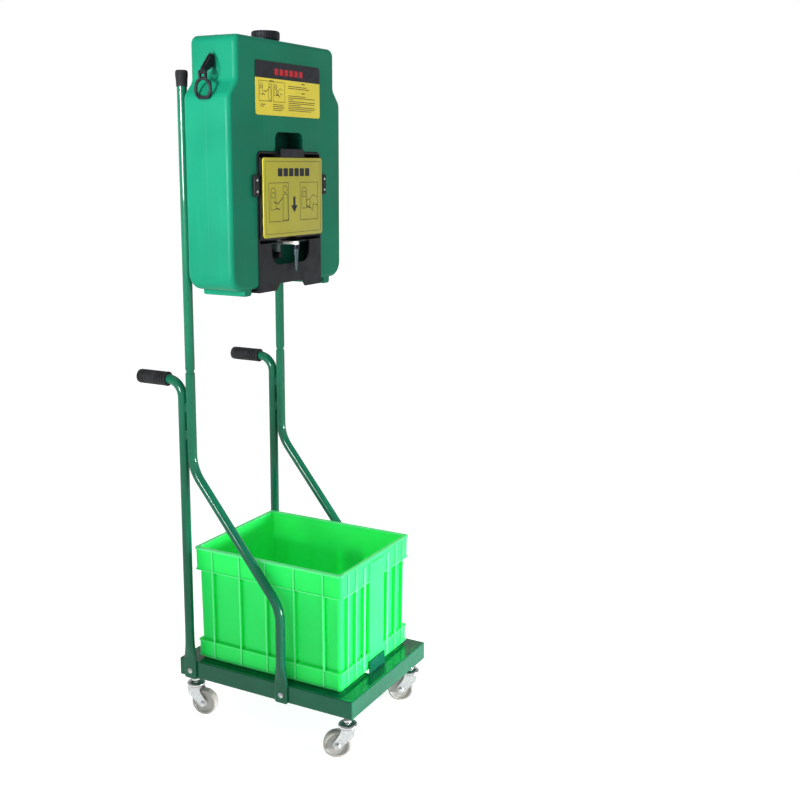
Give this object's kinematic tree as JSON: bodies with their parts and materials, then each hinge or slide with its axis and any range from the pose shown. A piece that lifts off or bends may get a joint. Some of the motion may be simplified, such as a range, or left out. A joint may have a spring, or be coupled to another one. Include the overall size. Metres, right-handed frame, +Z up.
{
  "type": "eyewash station",
  "caption": "Portable gravity-fed eyewash station: green tank with a fold-down spray arm on a wheeled tube trolley with a storage crate.",
  "frame": {"origin": "on the floor, under the middle of the station's outer box", "axes": "+Z up, -Y towards the front with the label and the spray arm, +X to the right of a viewer who faces the front"},
  "size_m": [0.469, 0.568, 1.605],
  "materials": {
    "green_paint": "gloss powder coat, dark green",
    "tank_green": "satin blow-moulded polyethylene, mid green",
    "crate_green": "satin polypropylene, bright green",
    "black_plastic": "satin moulded plastic, black",
    "black_rubber": "matte rubber, black",
    "grey_rubber": "soft flexible tube, grey",
    "white_plastic": "semi-gloss moulded plastic, white",
    "wheel_nylon": "ivory nylon wheel",
    "yellow_plastic": "satin panel with a printed film, yellow",
    "label_film": "printed film, yellow with a black header",
    "zinc": "zinc-plated pressed steel",
    "chrome": "bright plated steel"
  },
  "bodies": {
    "trolley": {"base_tray": "green_paint", "front_caster_rail": "green_paint", "rear_caster_rail": "green_paint", "left_front_foot_bolt": "zinc", "right_front_foot_bolt": "zinc", "left_handle_foot_bolt": "zinc", "right_handle_foot_bolt": "zinc", "left_handle_tube": "green_paint", "right_handle_tube": "green_paint", "left_front_tube": "green_paint", "right_front_tube": "green_paint", "left_upper_post": "green_paint", "right_upper_post": "green_paint", "left_post_cap": "black_rubber", "right_post_cap": "black_rubber", "left_grip": "black_rubber", "right_grip": "black_rubber", "upper_crossbar": "green_paint", "lower_crossbar": "green_paint", "tank_hanger": "zinc", "caster_head_front_left": "chrome", "caster_head_front_right": "chrome", "caster_head_rear_left": "chrome", "caster_head_rear_right": "chrome"},
    "crate": {"crate": "crate_green"},
    "tank": {"tank": "tank_green", "instruction_label": "label_film", "left_carry_lug": "black_plastic", "right_carry_lug": "black_plastic", "arm_frame": "black_plastic", "hinge_pin": "zinc", "left_frame_bracket": "black_plastic", "right_frame_bracket": "black_plastic", "feed_union": "black_plastic", "feed_hose": "grey_rubber", "outlet_elbow": "black_plastic", "drain_spout": "white_plastic", "drain_sleeve": "grey_rubber"},
    "cap_seat": {"cap_gasket": "black_rubber", "cap_tether": "black_plastic"},
    "fill_cap": {"fill_cap": "black_plastic"},
    "left_ring": {"left_carry_ring": "black_plastic"},
    "right_ring": {"right_carry_ring": "black_plastic"},
    "arm": {"arm_tray": "black_plastic", "arm_cover": "yellow_plastic", "spray_manifold": "grey_rubber", "left_spray_head": "white_plastic", "right_spray_head": "white_plastic"},
    "fork_front_left": {"caster_fork_front_left": "zinc", "caster_axle_front_left": "zinc"},
    "wheel_front_left": {"caster_wheel_front_left": "wheel_nylon"},
    "fork_front_right": {"caster_fork_front_right": "zinc", "caster_axle_front_right": "zinc"},
    "wheel_front_right": {"caster_wheel_front_right": "wheel_nylon"},
    "fork_rear_left": {"caster_fork_rear_left": "zinc", "caster_axle_rear_left": "zinc"},
    "wheel_rear_left": {"caster_wheel_rear_left": "wheel_nylon"},
    "fork_rear_right": {"caster_fork_rear_right": "zinc", "caster_axle_rear_right": "zinc"},
    "wheel_rear_right": {"caster_wheel_rear_right": "wheel_nylon"}
  },
  "joints": [
    {"name": "swivel_front_left", "type": "hinge", "parent": "trolley", "child": "fork_front_left", "pos_m": [-0.152, -0.258, 0.0735], "axis": [0, 0, 1], "continuous": true},
    {"name": "roll_front_left", "type": "hinge", "parent": "fork_front_left", "child": "wheel_front_left", "pos_m": [-0.16378, -0.23709, 0.0315], "axis": [-0.8712, -0.4909, 0], "continuous": true},
    {"name": "swivel_front_right", "type": "hinge", "parent": "trolley", "child": "fork_front_right", "pos_m": [0.152, -0.258, 0.0735], "axis": [0, 0, 1], "continuous": true},
    {"name": "roll_front_right", "type": "hinge", "parent": "fork_front_right", "child": "wheel_front_right", "pos_m": [0.14022, -0.23709, 0.0315], "axis": [-0.8712, -0.4909, 0], "continuous": true},
    {"name": "swivel_rear_left", "type": "hinge", "parent": "trolley", "child": "fork_rear_left", "pos_m": [-0.152, 0.168, 0.0735], "axis": [0, 0, 1], "continuous": true},
    {"name": "roll_rear_left", "type": "hinge", "parent": "fork_rear_left", "child": "wheel_rear_left", "pos_m": [-0.14722, 0.14448, 0.0315], "axis": [0.9799, 0.1994, 0], "continuous": true},
    {"name": "swivel_rear_right", "type": "hinge", "parent": "trolley", "child": "fork_rear_right", "pos_m": [0.152, 0.168, 0.0735], "axis": [0, 0, 1], "continuous": true},
    {"name": "roll_rear_right", "type": "hinge", "parent": "fork_rear_right", "child": "wheel_rear_right", "pos_m": [0.14262, 0.14591, 0.0315], "axis": [0.9205, -0.3907, 0], "continuous": true},
    {"name": "crate_lift", "type": "slide", "parent": "trolley", "child": "crate", "axis": [0, 0, 1], "range_m": [0, 0.3]},
    {"name": "tank_lift", "type": "slide", "parent": "trolley", "child": "tank", "axis": [0, 0, 1], "range_m": [0, 0.025]},
    {"name": "cap_lift", "type": "slide", "parent": "tank", "child": "cap_seat", "axis": [0, 0, 1], "range_m": [0, 0.0181]},
    {"name": "cap_turn", "type": "hinge", "parent": "cap_seat", "child": "fill_cap", "pos_m": [0, 0.04, 1.595], "axis": [0, 0, 1], "range_deg": [0, 1080]},
    {"name": "left_ring_swing", "type": "hinge", "parent": "tank", "child": "left_ring", "pos_m": [-0.2305, 0.04, 1.5], "axis": [0, 1, 0], "range_deg": [0, 90]},
    {"name": "right_ring_swing", "type": "hinge", "parent": "tank", "child": "right_ring", "pos_m": [0.2305, 0.04, 1.5], "axis": [0, -1, 0], "range_deg": [0, 90]},
    {"name": "arm_fold", "type": "hinge", "parent": "tank", "child": "arm", "pos_m": [0, -0.014, 1.157], "axis": [1, 0, 0], "range_deg": [0, 90]}
  ],
  "couplings": [
    {"joint": "cap_lift", "follows": "cap_turn", "m_per_rad": 0.00095493}
  ]
}
